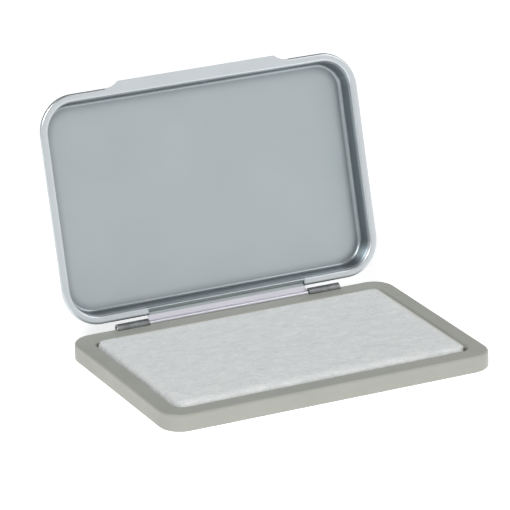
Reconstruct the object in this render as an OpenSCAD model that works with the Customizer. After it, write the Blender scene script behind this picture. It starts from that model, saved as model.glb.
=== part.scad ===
// Hinged stamp ink pad: a moulded plastic tray with a felt pad in it and a stamped metal lid
// standing open on a rear hinge. The origin is the centre of the underside, Z is up, the long
// side and the hinge run along X, and the front is at -Y. The lid is drawn at its open stop.

/* [Tray] */
// Length of the tray along the hinge
tray_w = 126; // [112:1:150]
// Depth of the tray from front to back
tray_d = 82; // [72:1:100]
// Height of the tray
tray_h = 6.3; // [5.6:0.1:9]
// Radius of the tray's outside corners
tray_r = 8; // [6:0.5:12]
// Wall thickness of the moulding
tray_wall = 1.5; // [1.2:0.1:1.8]
// Width of the rim at the two ends
rim_side = 6.5; // [5:0.25:8]
// Width of the rim at the front
rim_front = 6.75; // [5:0.25:8]
// Width of the rim along the hinge
rim_rear = 7.5; // [6.5:0.25:9]
// Corner radius of the well
well_r = 3.5; // [2:0.5:5]
// Radius of the soft outer top edge
edge_r = 1; // [0.6:0.1:1.3]
// Bevel round the mouth of the well
well_bevel = 0.7; // [0.3:0.1:1]

/* [Pad] */
// Gap between the pad and the wall of the well
pad_gap = 0.7; // [0.4:0.1:1.2]
// How far the cover stands above the rim
pad_proud = 1; // [0.4:0.1:2]
// Thickness of the cloth cover
cover_t = 0.6; // [0.4:0.1:1]

/* [Lid] */
// Open angle of the lid, measured from closed
open_angle = 106; // [90:1:125]
// Thickness of the lid sheet
sheet = 0.4; // [0.35:0.05:0.5]
// Width of the flattened bead round the lid's edge
bead_w = 3; // [2.6:0.1:3.4]
// Thickness of the flattened bead
bead_t = 1.8; // [1.4:0.1:2.2]
// Inside corner radius of the lid
lid_r = 10.5; // [8:0.5:13]
// Inside radius between the lid's panel and its skirt
lid_fillet = 1.3; // [0.8:0.1:2]
// Draft of the lid's skirt, in degrees
lid_draft = 11; // [2:1:15]
// Height of the closed lid's top above the table
closed_h = 13.2; // [12.6:0.1:16]
// Reach of the lift lip beyond the bead
lip_out = 2; // [1.5:0.1:3]
// Length of the flat part of the lift lip
lip_w = 61.5; // [40:0.5:70]

/* [Hinge] */
// Diameter of the hinge pin
pin_d = 1; // [0.8:0.1:1.2]
// Length of one hinge strap
strap_w = 12.2; // [10:0.2:15]
// Distance from the middle of the tray to a strap's inner end
strap_x = 31.9; // [26:0.1:36]
// Thickness of the strap steel
strap_t = 0.7; // [0.5:0.05:0.8]
// Radial clearance of the lid's barrel in the straps
pin_fit = 0.05; // [0.02:0.01:0.1]

/* [Hidden] */
$fn = 96;
pin_r = pin_d / 2;
hinge_y = tray_d / 2 - 0.6;
hinge_z = tray_h + 0.1;
tongue_x = strap_x - 0.5;
barrel_x = strap_x + strap_w - 0.3;
barrel_in = pin_r + 0.03;
barrel_out = barrel_in + sheet;
curl_in = barrel_out + pin_fit;
curl_out = curl_in + strap_t;
leg_y = hinge_y - curl_out;
foot_z = tray_h - tray_wall - strap_t - 0.03;
well_w = tray_w - 2 * rim_side;
well_d = tray_d - rim_front - rim_rear;
well_y = (rim_front - rim_rear) / 2;
floor_t = 1.2;
pad_z = floor_t + 0.02;
flare_r = 8;
curl_end = -55;
pad_top = tray_h + pad_proud;
pad_w = well_w - 2 * pad_gap;
pad_d = well_d - 2 * pad_gap;
lid_in_w = 119.1 / 126 * tray_w;
lid_in_d = 75.7 / 82 * tray_d;
lid_rear = hinge_y - 5.63;
lid_in_y = lid_rear - lid_in_d / 2;
bead_z = tray_h + 0.15;
bead_r = bead_t / 2;
round_z = closed_h - sheet - lid_fillet;
skirt_lean = (lid_fillet + (round_z - bead_z - bead_r) * sin(lid_draft)) / cos(lid_draft);
round_x = round(100 * skirt_lean) / 100;

// Outline with four round corners.
module round_rect(w, d, r) {
  for (sx = [-1, 1], sy = [-1, 1])
    translate([sx * (w / 2 - r), sy * (d / 2 - r)]) circle(r);
  square([w - 2 * r, d], center = true);
  square([w, d - 2 * r], center = true);
}

// Plate with four round corners.
module round_plate(w, d, r, h) {
  linear_extrude(h) round_rect(w, d, r);
}

// Carries a profile round a rectangle with round corners; profile x is measured outward from it.
module around(w, d, r) {
  for (k = [0:3])
    translate([(k == 0 || k == 3 ? 1 : -1) * (w / 2 - r), (k < 2 ? 1 : -1) * (d / 2 - r), 0])
      rotate([0, 0, 90 * k]) rotate_extrude(angle = 90) translate([r, 0]) children();
  for (s = [0, 1]) {
    rotate([0, 0, 180 * s]) translate([w / 2, d / 2 - r, 0])
      rotate([90, 0, 0]) linear_extrude(d - 2 * r) children();
    rotate([0, 0, 180 * s]) translate([w / 2 - r, -d / 2, 0])
      rotate([90, 0, -90]) linear_extrude(w - 2 * r) children();
  }
}

// Section of the tray's outside wall: soft top edge, small chamfer at the foot.
module wall_section() {
  translate([-tray_wall, 0.4]) square([tray_wall, tray_h - edge_r - 0.4]);
  translate([-tray_wall, 0]) square([tray_wall - 0.4, tray_h - edge_r]);
  polygon([[-0.4, 0], [0, 0.4], [-0.4, 0.4]]);
  intersection() {
    translate([-edge_r, tray_h - edge_r]) circle(edge_r);
    translate([-edge_r, tray_h - edge_r]) square(edge_r);
  }
  translate([-tray_wall, tray_h - edge_r]) square([tray_wall - edge_r, edge_r]);
}

// Moulded tray: outside wall, flat rim, well, and the groove and slots for the hinge.
module base_tray() {
  color([0.62, 0.63, 0.60]) difference() {
    union() {
      around(tray_w, tray_d, tray_r) wall_section();
      difference() {
        union() {
          translate([0, 0, tray_h - tray_wall])
            round_plate(tray_w - 2, tray_d - 2, tray_r - 1, tray_wall);
          translate([0, well_y, 0]) round_plate(well_w + 2 * tray_wall, well_d + 2 * tray_wall,
            well_r + tray_wall, tray_h);
        }
        translate([0, well_y, floor_t]) round_plate(well_w, well_d, well_r, tray_h);
      }
    }
    translate([0, well_y, 0]) around(well_w, well_d, well_r)
      polygon([[-0.01, tray_h + 0.01], [well_bevel, tray_h + 0.01], [-0.01, tray_h - well_bevel]]);
    translate([-tongue_x - 1, hinge_y, hinge_z]) rotate([0, 90, 0])
      cylinder(h = 2 * tongue_x + 2, r = barrel_out + 0.15);
    for (s = [-1, 1]) translate([s * (strap_x + strap_w / 2), hinge_y, hinge_z])
      rotate([0, 90, 0]) cylinder(h = strap_w + 0.4, r = curl_out + 0.15, center = true);
    for (s = [-1, 1])
      translate([s * (strap_x + strap_w / 2), leg_y + strap_t / 2, tray_h - tray_wall])
        cube([strap_w + 0.2, strap_t + 0.2, 4], center = true);
  }
}

// Soft core of the pad, a plain block of felt.
module felt_pad() {
  color([0.90, 0.90, 0.88]) translate([0, well_y, pad_z])
    round_plate(pad_w - 2 * cover_t - 0.1, pad_d - 2 * cover_t - 0.1, 2,
      pad_top - cover_t - pad_z - 0.05);
}

// Cloth cover laid over the core and tucked down its four sides.
module pad_cover() {
  color([0.82, 0.84, 0.84]) difference() {
    union() {
      translate([0, well_y, pad_z]) round_plate(pad_w, pad_d, 2.6, pad_top - 0.8 - pad_z);
      translate([0, well_y, pad_top - 0.8]) around(pad_w - 1.6, pad_d - 1.6, 1.8) intersection() {
        circle(0.8);
        square(0.8);
      }
      translate([0, well_y, pad_z]) round_plate(pad_w - 1.6, pad_d - 1.6, 1.8, pad_top - pad_z);
    }
    translate([0, well_y, pad_z - 1])
      round_plate(pad_w - 2 * cover_t, pad_d - 2 * cover_t, 2, pad_top - cover_t - pad_z + 1);
  }
}

// Section of a strap: open curl over the barrel, leg down through the rim, foot clinched under it.
module strap_section() {
  difference() {
    circle(curl_out);
    circle(curl_in);
    polygon([[0, 0], [-3, -0.1], [-3, -3], [3 * cos(curl_end), -3],
      [3 * cos(curl_end), 3 * sin(curl_end)]]);
  }
  translate([-curl_out, foot_z - hinge_z]) square([strap_t, hinge_z - foot_z]);
  translate([-curl_out - 3.2, foot_z - hinge_z]) square([3.2 + strap_t, strap_t]);
}

module hinge_strap() {
  color([0.52, 0.53, 0.54]) translate([0, hinge_y, hinge_z]) rotate([90, 0, 90])
    linear_extrude(strap_w) strap_section();
}

module hinge_strap_left() {
  translate([-strap_x - strap_w, 0, 0]) hinge_strap();
}

module hinge_strap_right() {
  translate([strap_x, 0, 0]) hinge_strap();
}

// Wire pin that stiffens the lid's barrel and turns with it.
module hinge_pin() {
  color([0.72, 0.73, 0.74]) translate([-barrel_x - 0.1, hinge_y, hinge_z])
    rotate([0, 90, 0]) cylinder(h = 2 * barrel_x + 0.2, r = pin_r);
}

// Section of the lid's edge: rounded shoulder, drafted skirt and flattened bead.
module lid_section() {
  lean = [cos(lid_draft), sin(lid_draft)];
  top = [-round_x, round_z] + 0.06 * [-lean[1], lean[0]];
  polygon([[0.02 / lean[0], bead_z + bead_r], [(sheet - 0.02) / lean[0], bead_z + bead_r],
    top + (lid_fillet + sheet - 0.02) * lean, top + (lid_fillet + 0.02) * lean]);
  translate([-round_x, round_z]) intersection() {
    difference() {
      circle(lid_fillet + sheet);
      circle(lid_fillet);
    }
    polygon([[0, 0], 4 * lean, [4, 4], [0, 4]]);
  }
  translate([bead_r, bead_z]) square([bead_w - bead_t, bead_t]);
  for (x = [bead_r, bead_w - bead_r]) translate([x, bead_z + bead_r]) circle(bead_r);
}

// Lift lip: a flat tab on the front edge whose ends flare into the bead.
module lift_lip() {
  flare_x = lip_w / 2 + sqrt(flare_r * flare_r - (flare_r - lip_out) * (flare_r - lip_out));
  translate([0, lid_in_y - lid_in_d / 2 - bead_w, bead_z]) linear_extrude(sheet) difference() {
    translate([-flare_x, -lip_out]) square([2 * flare_x, lip_out + bead_r]);
    for (s = [-1, 1]) translate([s * flare_x, -flare_r]) circle(flare_r);
  }
}

// The stamped lid in its closed position, its rear bead pressed to a slope along the tongue.
module lid_closed() {
  difference() {
    translate([0, lid_in_y, 0]) around(lid_in_w, lid_in_d, lid_r) lid_section();
    translate([-tongue_x + 0.5, lid_rear, bead_z]) rotate([90, 0, 90])
      linear_extrude(2 * tongue_x - 1)
        polygon([[0.7, -1], [0.7, 0], [bead_w + 0.2, 0.95], [bead_w + 0.2, -1]]);
  }
  translate([0, lid_in_y, closed_h - sheet])
    round_plate(lid_in_w - 2 * round_x, lid_in_d - 2 * round_x, lid_r - round_x, sheet);
  lift_lip();
  hinge_tongue();
}

// Tongue behind the lid's rear bead, rolled into a long barrel that runs on under both straps.
module hinge_tongue() {
  root = lid_rear + bead_w / 2;
  translate([-tongue_x, root, hinge_z + barrel_in + 0.03])
    cube([2 * tongue_x, hinge_y - root, sheet - 0.06]);
  translate([-barrel_x, hinge_y, hinge_z]) rotate([0, 90, 0]) difference() {
    cylinder(h = 2 * barrel_x, r = barrel_out);
    translate([0, 0, -1]) cylinder(h = 2 * barrel_x + 2, r = barrel_in);
  }
}

// The lid standing open against its stop.
module lid_shell() {
  color([0.72, 0.74, 0.75]) translate([0, hinge_y, hinge_z]) rotate([-open_angle, 0, 0])
    translate([0, -hinge_y, -hinge_z]) lid_closed();
}

base_tray();
felt_pad();
pad_cover();
hinge_strap_left();
hinge_strap_right();
hinge_pin();
lid_shell();
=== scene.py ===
import math
import bpy
from mathutils import Matrix, Vector


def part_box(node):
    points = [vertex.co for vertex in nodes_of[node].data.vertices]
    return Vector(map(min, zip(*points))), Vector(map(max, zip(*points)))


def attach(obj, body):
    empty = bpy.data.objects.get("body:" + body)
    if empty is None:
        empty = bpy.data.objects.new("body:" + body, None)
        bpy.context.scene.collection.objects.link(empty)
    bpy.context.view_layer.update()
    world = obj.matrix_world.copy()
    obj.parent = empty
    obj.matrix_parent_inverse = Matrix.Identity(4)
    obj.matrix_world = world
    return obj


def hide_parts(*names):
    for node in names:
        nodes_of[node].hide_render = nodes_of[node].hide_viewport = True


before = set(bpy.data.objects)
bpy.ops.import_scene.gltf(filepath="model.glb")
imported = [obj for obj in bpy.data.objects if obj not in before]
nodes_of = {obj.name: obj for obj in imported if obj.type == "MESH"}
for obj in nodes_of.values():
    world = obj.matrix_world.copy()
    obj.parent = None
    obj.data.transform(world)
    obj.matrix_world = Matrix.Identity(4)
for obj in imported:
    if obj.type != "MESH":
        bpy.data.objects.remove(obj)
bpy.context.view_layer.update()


# Moulded tray: satin warm-grey plastic, one injection moulding. The skin has a very fine grain,
# faint flow mottling and light handling scuffs, and the edges are paler, partly rubbed wear and
# partly a painted highlight.
def material(name, base, rough, metal=0.0):
    mat = bpy.data.materials.new(name)
    mat.use_nodes = True
    tree = mat.node_tree
    shader = tree.nodes["Principled BSDF"]
    shader.inputs["Base Color"].default_value = (*base, 1)
    shader.inputs["Roughness"].default_value = rough
    shader.inputs["Metallic"].default_value = metal
    return mat, tree, shader


def place(tree, scale=(1, 1, 1), turn=(0, 0, 0)):
    coord = tree.nodes.new("ShaderNodeTexCoord")
    mapping = tree.nodes.new("ShaderNodeMapping")
    mapping.inputs["Scale"].default_value = scale
    mapping.inputs["Rotation"].default_value = turn
    tree.links.new(coord.outputs["Object"], mapping.inputs["Vector"])
    return mapping.outputs["Vector"]


def noise(tree, vector, scale, detail=3.0, rough=0.5, distortion=0.0):
    node = tree.nodes.new("ShaderNodeTexNoise")
    node.inputs["Scale"].default_value = scale
    node.inputs["Detail"].default_value = detail
    node.inputs["Roughness"].default_value = rough
    node.inputs["Distortion"].default_value = distortion
    tree.links.new(vector, node.inputs["Vector"])
    return node.outputs["Fac"]


def remap(tree, value, low, high, out_low, out_high):
    node = tree.nodes.new("ShaderNodeMapRange")
    tree.links.new(value, node.inputs["Value"])
    for key, number in zip(("From Min", "From Max", "To Min", "To Max"),
                           (low, high, out_low, out_high)):
        node.inputs[key].default_value = number
    return node.outputs["Result"]


def tint(tree, mask, colour_a, colour_b):
    node = tree.nodes.new("ShaderNodeMix")
    node.data_type = "RGBA"
    tree.links.new(mask, node.inputs["Factor"])
    for key, colour in (("A", colour_a), ("B", colour_b)):
        socket = [s for s in node.inputs if s.name == key and s.type == "RGBA"][0]
        if isinstance(colour, tuple):
            socket.default_value = (*colour, 1)
        else:
            tree.links.new(colour, socket)
    return [s for s in node.outputs if s.type == "RGBA"][0]


def math_node(tree, kind, a, b):
    node = tree.nodes.new("ShaderNodeMath")
    node.operation = kind
    for k, value in enumerate((a, b)):
        if isinstance(value, (int, float)):
            node.inputs[k].default_value = value
        else:
            tree.links.new(value, node.inputs[k])
    return node.outputs[0]


def bump(tree, height, distance, strength=1.0, under=None):
    node = tree.nodes.new("ShaderNodeBump")
    node.inputs["Distance"].default_value = distance
    node.inputs["Strength"].default_value = strength
    tree.links.new(height, node.inputs["Height"])
    if under is not None:
        tree.links.new(under, node.inputs["Normal"])
    return node.outputs["Normal"]


def edge_mask(tree, radius, gain):
    soft = tree.nodes.new("ShaderNodeBevel")
    soft.samples = 6
    soft.inputs["Radius"].default_value = radius
    flat = tree.nodes.new("ShaderNodeNewGeometry")
    dot = tree.nodes.new("ShaderNodeVectorMath")
    dot.operation = "DOT_PRODUCT"
    tree.links.new(soft.outputs["Normal"], dot.inputs[0])
    tree.links.new(flat.outputs["Normal"], dot.inputs[1])
    return remap(tree, dot.outputs["Value"], 1.0, 1.0 - 1.0 / gain, 0.0, 1.0), soft.outputs["Normal"]


def scuffs(tree, turn, density):
    lines = noise(tree, place(tree, (900, 26, 900), turn), 1.0, 2.0, 0.5, 0.4)
    thin = remap(tree, lines, 1.0 - density, 1.0 - density + 0.03, 0.0, 1.0)
    patch = remap(tree, noise(tree, place(tree), 55.0, 2.0), 0.48, 0.62, 0.0, 1.0)
    return math_node(tree, "MULTIPLY", thin, patch)


def dress(node_name, mat):
    node = nodes_of[node_name]
    for slot in node.material_slots:
        slot.material = mat


tray_dark, tray_light = (0.345, 0.352, 0.318), (0.372, 0.377, 0.340)
tray_rub_and_highlight, tray_scuffed = (0.56, 0.565, 0.52), (0.45, 0.455, 0.42)
plastic, tree, shader = material("tray_plastic", (0.36, 0.37, 0.35), 0.42)
mottle = noise(tree, place(tree), 38.0, 4.0, 0.55)
base = tint(tree, remap(tree, mottle, 0.35, 0.65, 0.0, 1.0), tray_dark, tray_light)
edges, soft_normal = edge_mask(tree, 0.0005, 2.5)
# Paler rounded edges: partly rubbed wear, partly a painted highlight along the rim edges.
base = tint(tree, math_node(tree, "MULTIPLY", edges, 0.5), base, tray_rub_and_highlight)
wear = scuffs(tree, (0, 0, 0.5), 0.30)
base = tint(tree, math_node(tree, "MULTIPLY", wear, 0.25), base, tray_scuffed)
tree.links.new(base, shader.inputs["Base Color"])
rough = remap(tree, noise(tree, place(tree), 160.0, 3.0), 0.3, 0.7, 0.36, 0.50)
tree.links.new(rough, shader.inputs["Roughness"])
grain = noise(tree, place(tree), 5200.0, 2.0, 0.6)
tree.links.new(bump(tree, grain, 0.00002, 0.5, soft_normal), shader.inputs["Normal"])
dress("base_tray", plastic)


# Pad cover: white nonwoven cloth pulled over the felt and tucked down its sides. It is soft,
# so its top edge is round and its sides wander a little; the surface is matted short fibre.
corner_round, top_round = 0.0032, 0.0017
skin_step, swell_limit, last_step = 0.0008, 0.0003, 20
push = Vector((0.0005, 0.0004, 0))
low, high = (Vector(corner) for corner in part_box("pad_cover"))
middle, size = (low + high) / 2, high - low
bpy.ops.object.select_all(action="DESELECT")
bpy.ops.mesh.primitive_cube_add(size=1, location=middle - push)
cover = bpy.context.object
cover.name = "pad_cloth"
cover.scale = (size.x, size.y + 0.0002, size.z - 0.0003)
bpy.ops.object.transform_apply(location=True, rotation=False, scale=True)
bpy.ops.object.mode_set(mode="EDIT")
bpy.ops.mesh.select_mode(type="EDGE")
bpy.ops.mesh.select_all(action="DESELECT")
bpy.ops.object.mode_set(mode="OBJECT")
for edge in cover.data.edges:
    ends = [cover.data.vertices[v].co for v in edge.vertices]
    edge.select = abs(ends[0].z - ends[1].z) > 0.001
bpy.ops.object.mode_set(mode="EDIT")
bpy.ops.mesh.bevel(offset=corner_round, segments=6)
bpy.ops.mesh.select_all(action="DESELECT")
bpy.ops.mesh.select_mode(type="FACE")
bpy.ops.mesh.select_all(action="DESELECT")
bpy.ops.object.mode_set(mode="OBJECT")
for face in cover.data.polygons:
    face.select = face.normal.z > 0.9
bpy.ops.object.mode_set(mode="EDIT")
bpy.ops.mesh.region_to_loop()
bpy.ops.mesh.bevel(offset=top_round, segments=6)
bpy.ops.object.mode_set(mode="OBJECT")
remesh = cover.modifiers.new("even_skin", "REMESH")
remesh.mode = "VOXEL"
remesh.voxel_size = skin_step
bpy.ops.object.modifier_apply(modifier=remesh.name)
before = [v.co.copy() for v in cover.data.vertices]
cloth = cover.modifiers.new("swell", "CLOTH")
cloth.settings.use_pressure = True
cloth.settings.uniform_pressure_force = 4
cloth.settings.mass = 0.0004
cloth.settings.effector_weights.gravity = 0
cloth.settings.tension_stiffness = 5
cloth.settings.bending_stiffness = 0.1
for step in range(1, last_step + 1):
    bpy.context.scene.frame_set(step)
bpy.ops.object.select_all(action="DESELECT")
bpy.context.view_layer.objects.active = cover
cover.select_set(True)
bpy.ops.object.modifier_apply(modifier=cloth.name)
for vertex, start in zip(cover.data.vertices, before):
    move = vertex.co - start
    if move.length > swell_limit:
        move *= swell_limit / move.length
    vertex.co = start + move
for name, scale, depth in (("wander", 0.011, 0.0005), ("tufts", 0.0019, 0.0004)):
    texture = bpy.data.textures.new(name, "CLOUDS")
    texture.noise_scale = scale
    texture.noise_depth = 2
    displace = cover.modifiers.new(name, "DISPLACE")
    displace.texture = texture
    displace.texture_coords = "LOCAL"
    displace.strength = depth
    displace.mid_level = 0.5
    bpy.ops.object.modifier_apply(modifier=displace.name)
smooth = cover.modifiers.new("relax", "SMOOTH")
smooth.factor = 0.5
smooth.iterations = 2
bpy.ops.object.modifier_apply(modifier=smooth.name)
finer = cover.modifiers.new("finer", "SUBSURF")
finer.levels = finer.render_levels = 1
bpy.ops.object.modifier_apply(modifier=finer.name)
bpy.ops.object.shade_smooth()
cloth_mat, tree, shader = material("nonwoven_cloth", (0.74, 0.77, 0.77), 0.95)
fibre = noise(tree, place(tree), 900.0, 6.0, 0.7, 2.5)
matted = noise(tree, place(tree, (1.0, 2.4, 1.0), (0, 0, 0.4)), 210.0, 4.0, 0.6, 1.2)
felted = math_node(tree, "ADD", math_node(tree, "MULTIPLY", fibre, 0.6),
                   math_node(tree, "MULTIPLY", matted, 0.4))
shade = tint(tree, remap(tree, felted, 0.38, 0.62, 0.0, 1.0), (0.64, 0.665, 0.665),
             (0.86, 0.88, 0.875))
tree.links.new(shade, shader.inputs["Base Color"])
shader.inputs["Sheen Weight"].default_value = 0.25
shader.inputs["Sheen Roughness"].default_value = 0.6
pile = bump(tree, matted, 0.0005, 0.7)
tree.links.new(bump(tree, fibre, 0.0003, 0.8, pile), shader.inputs["Normal"])
cover.data.materials.append(cloth_mat)
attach(cover, "base")
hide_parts("pad_cover")


# Felt core: a die-cut block of pale wool felt under the cover, hidden when the pad is whole.
felt_mat, tree, shader = material("wool_felt", (0.72, 0.71, 0.68), 1.0)
hair = noise(tree, place(tree), 1500.0, 5.0, 0.7, 1.5)
tree.links.new(tint(tree, hair, (0.62, 0.61, 0.58), (0.80, 0.79, 0.76)), shader.inputs["Base Color"])
tree.links.new(bump(tree, hair, 0.0002, 0.8), shader.inputs["Normal"])
dress("felt_pad", felt_mat)


# Straps: plain dull steel strip, blanked and curled cold over the lid's barrel, so the skin
# carries drawing lines round the curl, faint tarnish and rubbed bright edges.
steel, tree, shader = material("strap_steel", (0.30, 0.31, 0.32), 0.38, 1.0)
drawn = noise(tree, place(tree, (3000, 120, 120)), 1.0, 3.0, 0.6)
tarnish = noise(tree, place(tree), 420.0, 4.0, 0.6)
steel_clean, steel_tarnished, steel_rubbed = (0.33, 0.34, 0.35), (0.20, 0.21, 0.22), (0.42, 0.43, 0.44)
base = tint(tree, remap(tree, tarnish, 0.35, 0.7, 0.0, 1.0), steel_clean, steel_tarnished)
edges, soft_normal = edge_mask(tree, 0.00012, 3.0)
base = tint(tree, math_node(tree, "MULTIPLY", edges, 0.5), base, steel_rubbed)
tree.links.new(base, shader.inputs["Base Color"])
tree.links.new(remap(tree, drawn, 0.3, 0.7, 0.40, 0.56), shader.inputs["Roughness"])
tree.links.new(bump(tree, drawn, 0.00001, 0.5, soft_normal), shader.inputs["Normal"])
dress("hinge_strap_left", steel)
dress("hinge_strap_right", steel)


# Pin: a length of bright drawn wire, with lengthwise draw marks and a little dulling.
wire, tree, shader = material("pin_wire", (0.6, 0.61, 0.62), 0.25, 1.0)
draw_marks = noise(tree, place(tree, (60, 2600, 2600)), 1.0, 3.0)
tree.links.new(tint(tree, draw_marks, (0.5, 0.51, 0.52), (0.66, 0.67, 0.68)),
               shader.inputs["Base Color"])
tree.links.new(remap(tree, draw_marks, 0.3, 0.7, 0.2, 0.36), shader.inputs["Roughness"])
dress("hinge_pin", wire)


# Lid: one stamping of satin tinplate, drawn to a shallow pan with its edge rolled to a bead. The
# sheet keeps a fine rolling grain along X. Painted into its colour are a highlight on the bead, kept
# off the dark band behind the tongue, painted shade on the skirt and in the creases, a painted
# highlight on rounded edges and fillets that is partly rubbed polish, and a painted reflection on the
# tongue.
# Height is measured from the table as if the lid were shut.
hinge_y, hinge_z, open_angle = 0.0404, 0.0064, math.radians(106)
tongue_end = 0.0314
bead_top, skirt_top = 0.0080, 0.0115
tin_dark, tin_light = (0.420, 0.468, 0.488), (0.450, 0.498, 0.518)
# Painted light colours: the skirt and crease colours are painted shade, the bead colour is a painted
# highlight, the rubbed-edge colour is partly a painted highlight, and the tongue colour is a painted
# reflection. The scuff colour is wear.
tin_scuffed, tin_skirt_shade, tin_bead_highlight = (0.58, 0.60, 0.61), (0.16, 0.18, 0.195), (0.68, 0.72, 0.74)
tin_rub_and_highlight, tin_crease_shade, tin_tongue_reflection = (0.70, 0.74, 0.76), (0.13, 0.15, 0.16), (0.76, 0.75, 0.81)
tin, tree, shader = material("lid_tinplate", (0.56, 0.59, 0.60), 0.40, 0.9)
rolled = noise(tree, place(tree, (60, 2400, 2400)), 1.0, 3.0, 0.6)
cloud = noise(tree, place(tree), 24.0, 3.0, 0.5)
base = tint(tree, remap(tree, cloud, 0.35, 0.65, 0.0, 1.0), tin_dark, tin_light)
wear = scuffs(tree, (0.3, 0, 0.9), 0.27)
base = tint(tree, math_node(tree, "MULTIPLY", wear, 0.3), base, tin_scuffed)
spot = tree.nodes.new("ShaderNodeSeparateXYZ")
tree.links.new(place(tree), spot.inputs["Vector"])
rise, fall = math.sin(open_angle), -math.cos(open_angle)
height = math_node(tree, "SUBTRACT", math_node(tree, "MULTIPLY", spot.outputs["Y"], rise),
                   math_node(tree, "MULTIPLY", spot.outputs["Z"], fall))
height = math_node(tree, "SUBTRACT", height, rise * hinge_y - (1 + fall) * hinge_z)
# Painted shade: the skirt band between the bead and the panel is darkened where the inner wall lies in
# shade.
skirt = math_node(tree, "MULTIPLY", remap(tree, height, bead_top, bead_top + 0.0006, 0.0, 0.6),
                  remap(tree, height, skirt_top - 0.0007, skirt_top + 0.0007, 1.0, 0.0))
base = tint(tree, skirt, base, tin_skirt_shade)
along = remap(tree, math_node(tree, "ABSOLUTE", spot.outputs["X"], 0),
              tongue_end - 0.0001, tongue_end + 0.0002, 1.0, 0.0)
# Painted shade: across the tongue's width, the rear band of the bead is kept dark by withholding the
# bead's painted highlight.
shaded_band = math_node(tree, "MULTIPLY", along,
                    remap(tree, spot.outputs["Z"], 0.0150, 0.0160, 0.9, 0.0))
# Painted highlight: the bead band is lightened by its height above the table. This stands in for the
# bright reflection on the bead, and it is held off the shaded band behind the tongue.
bead = math_node(tree, "MULTIPLY", remap(tree, height, bead_top - 0.0002, bead_top + 0.0003, 0.70, 0.0),
                 math_node(tree, "SUBTRACT", 1.0, shaded_band))
base = tint(tree, bead, base, tin_bead_highlight)
# Painted reflection: the tongue between the straps takes a pale lavender tint, standing in for the
# backdrop it reflects.
tongue_reflection = math_node(tree, "MULTIPLY", along, remap(tree, spot.outputs["Z"], 0.0086, 0.0089, 1.0, 0.0))
# Rounded edges and fillets are tinted paler: partly rubbed polish on the bead, partly a painted
# highlight, and wholly a painted highlight on the fillets.
rub_and_highlight = edge_mask(tree, 0.0007, 2.5)[0]
base = tint(tree, math_node(tree, "MULTIPLY", rub_and_highlight, 0.85), base, tin_rub_and_highlight)
# Painted shade: occlusion darkens the creases and the skirt's recess, where shade falls.
crease = tree.nodes.new("ShaderNodeAmbientOcclusion")
crease.samples = 8
crease.inputs["Distance"].default_value = 0.006
crease_shade = remap(tree, crease.outputs["AO"], 0.50, 0.88, 0.85, 0.0)
base = tint(tree, crease_shade, base, tin_crease_shade)
base = tint(tree, tongue_reflection, base, tin_tongue_reflection)
tree.links.new(base, shader.inputs["Base Color"])
dull = math_node(tree, "ADD", remap(tree, rolled, 0.3, 0.7, -0.03, 0.03),
                 remap(tree, noise(tree, place(tree), 90.0, 3.0), 0.3, 0.7, 0.32, 0.38))
tree.links.new(dull, shader.inputs["Roughness"])
tree.links.new(bump(tree, rolled, 0.000006, 0.5), shader.inputs["Normal"])
dress("lid_shell", tin)


# Studio: a plain white floor, a soft surround that is dimmer overhead and to the left, and two
# large soft lights, the stronger one high on the left.
bpy.ops.object.select_all(action="DESELECT")
bpy.ops.mesh.primitive_plane_add(size=12, location=(0, 0, 0))
floor = bpy.context.object
floor.name = "floor"
floor_mat, tree, shader = material("floor_paint", (0.92, 0.92, 0.92), 0.8)
speck = noise(tree, place(tree), 30.0, 2.0)
tree.links.new(tint(tree, speck, (0.915, 0.915, 0.915), (0.925, 0.925, 0.925)),
               shader.inputs["Base Color"])
shader.inputs["Emission Color"].default_value = (1, 1, 1, 1)
shader.inputs["Emission Strength"].default_value = 0.6
floor.data.materials.append(floor_mat)

scene = bpy.context.scene
world = bpy.data.worlds.new("surround")
scene.world = world
world.use_nodes = True
tree = world.node_tree
coord = tree.nodes.new("ShaderNodeTexCoord")
split = tree.nodes.new("ShaderNodeSeparateXYZ")
tree.links.new(coord.outputs["Generated"], split.inputs["Vector"])
overhead = remap(tree, split.outputs["Z"], 0.15, 0.7, 1.0, 0.1)
across = remap(tree, split.outputs["X"], -0.7, 0.8, 0.66, 1.12)
level = math_node(tree, "MULTIPLY", overhead, across)
tree.links.new(level, tree.nodes["Background"].inputs["Strength"])
tree.nodes["Background"].inputs["Color"].default_value = (1, 1, 1, 1)


def soft_light(name, spot, aim, width, power):
    data = bpy.data.lights.new(name, "AREA")
    data.shape = "SQUARE"
    data.size = width
    data.energy = power
    lamp = bpy.data.objects.new(name, data)
    scene.collection.objects.link(lamp)
    lamp.location = spot
    lamp.rotation_euler = (Vector(aim) - Vector(spot)).to_track_quat("-Z", "Y").to_euler()


soft_light("key", (-0.53, -0.48, 0.87), (0, 0, 0.02), 0.45, 7)
soft_light("fill", (0.8, -0.5, 0.9), (0, 0, 0.02), 0.7, 4)

camera_data = bpy.data.cameras.new("camera")
camera = bpy.data.objects.new("camera", camera_data)
scene.collection.objects.link(camera)
camera_data.sensor_width = 36
camera_data.lens = 287.04
camera_data.clip_start = 0.05
camera_data.clip_end = 40
eye, target, roll = Vector((-0.59973, -1.17006, 0.53144)), Vector((0.04019, 0.09912, 0)), -0.48
tilt = Matrix.Rotation(math.radians(roll), 3, "Z")
turn = (target - eye).to_track_quat("-Z", "Y").to_matrix() @ tilt
camera.matrix_world = Matrix.Translation(eye) @ turn.to_4x4()
scene.camera = camera
scene.view_settings.view_transform = "Standard"
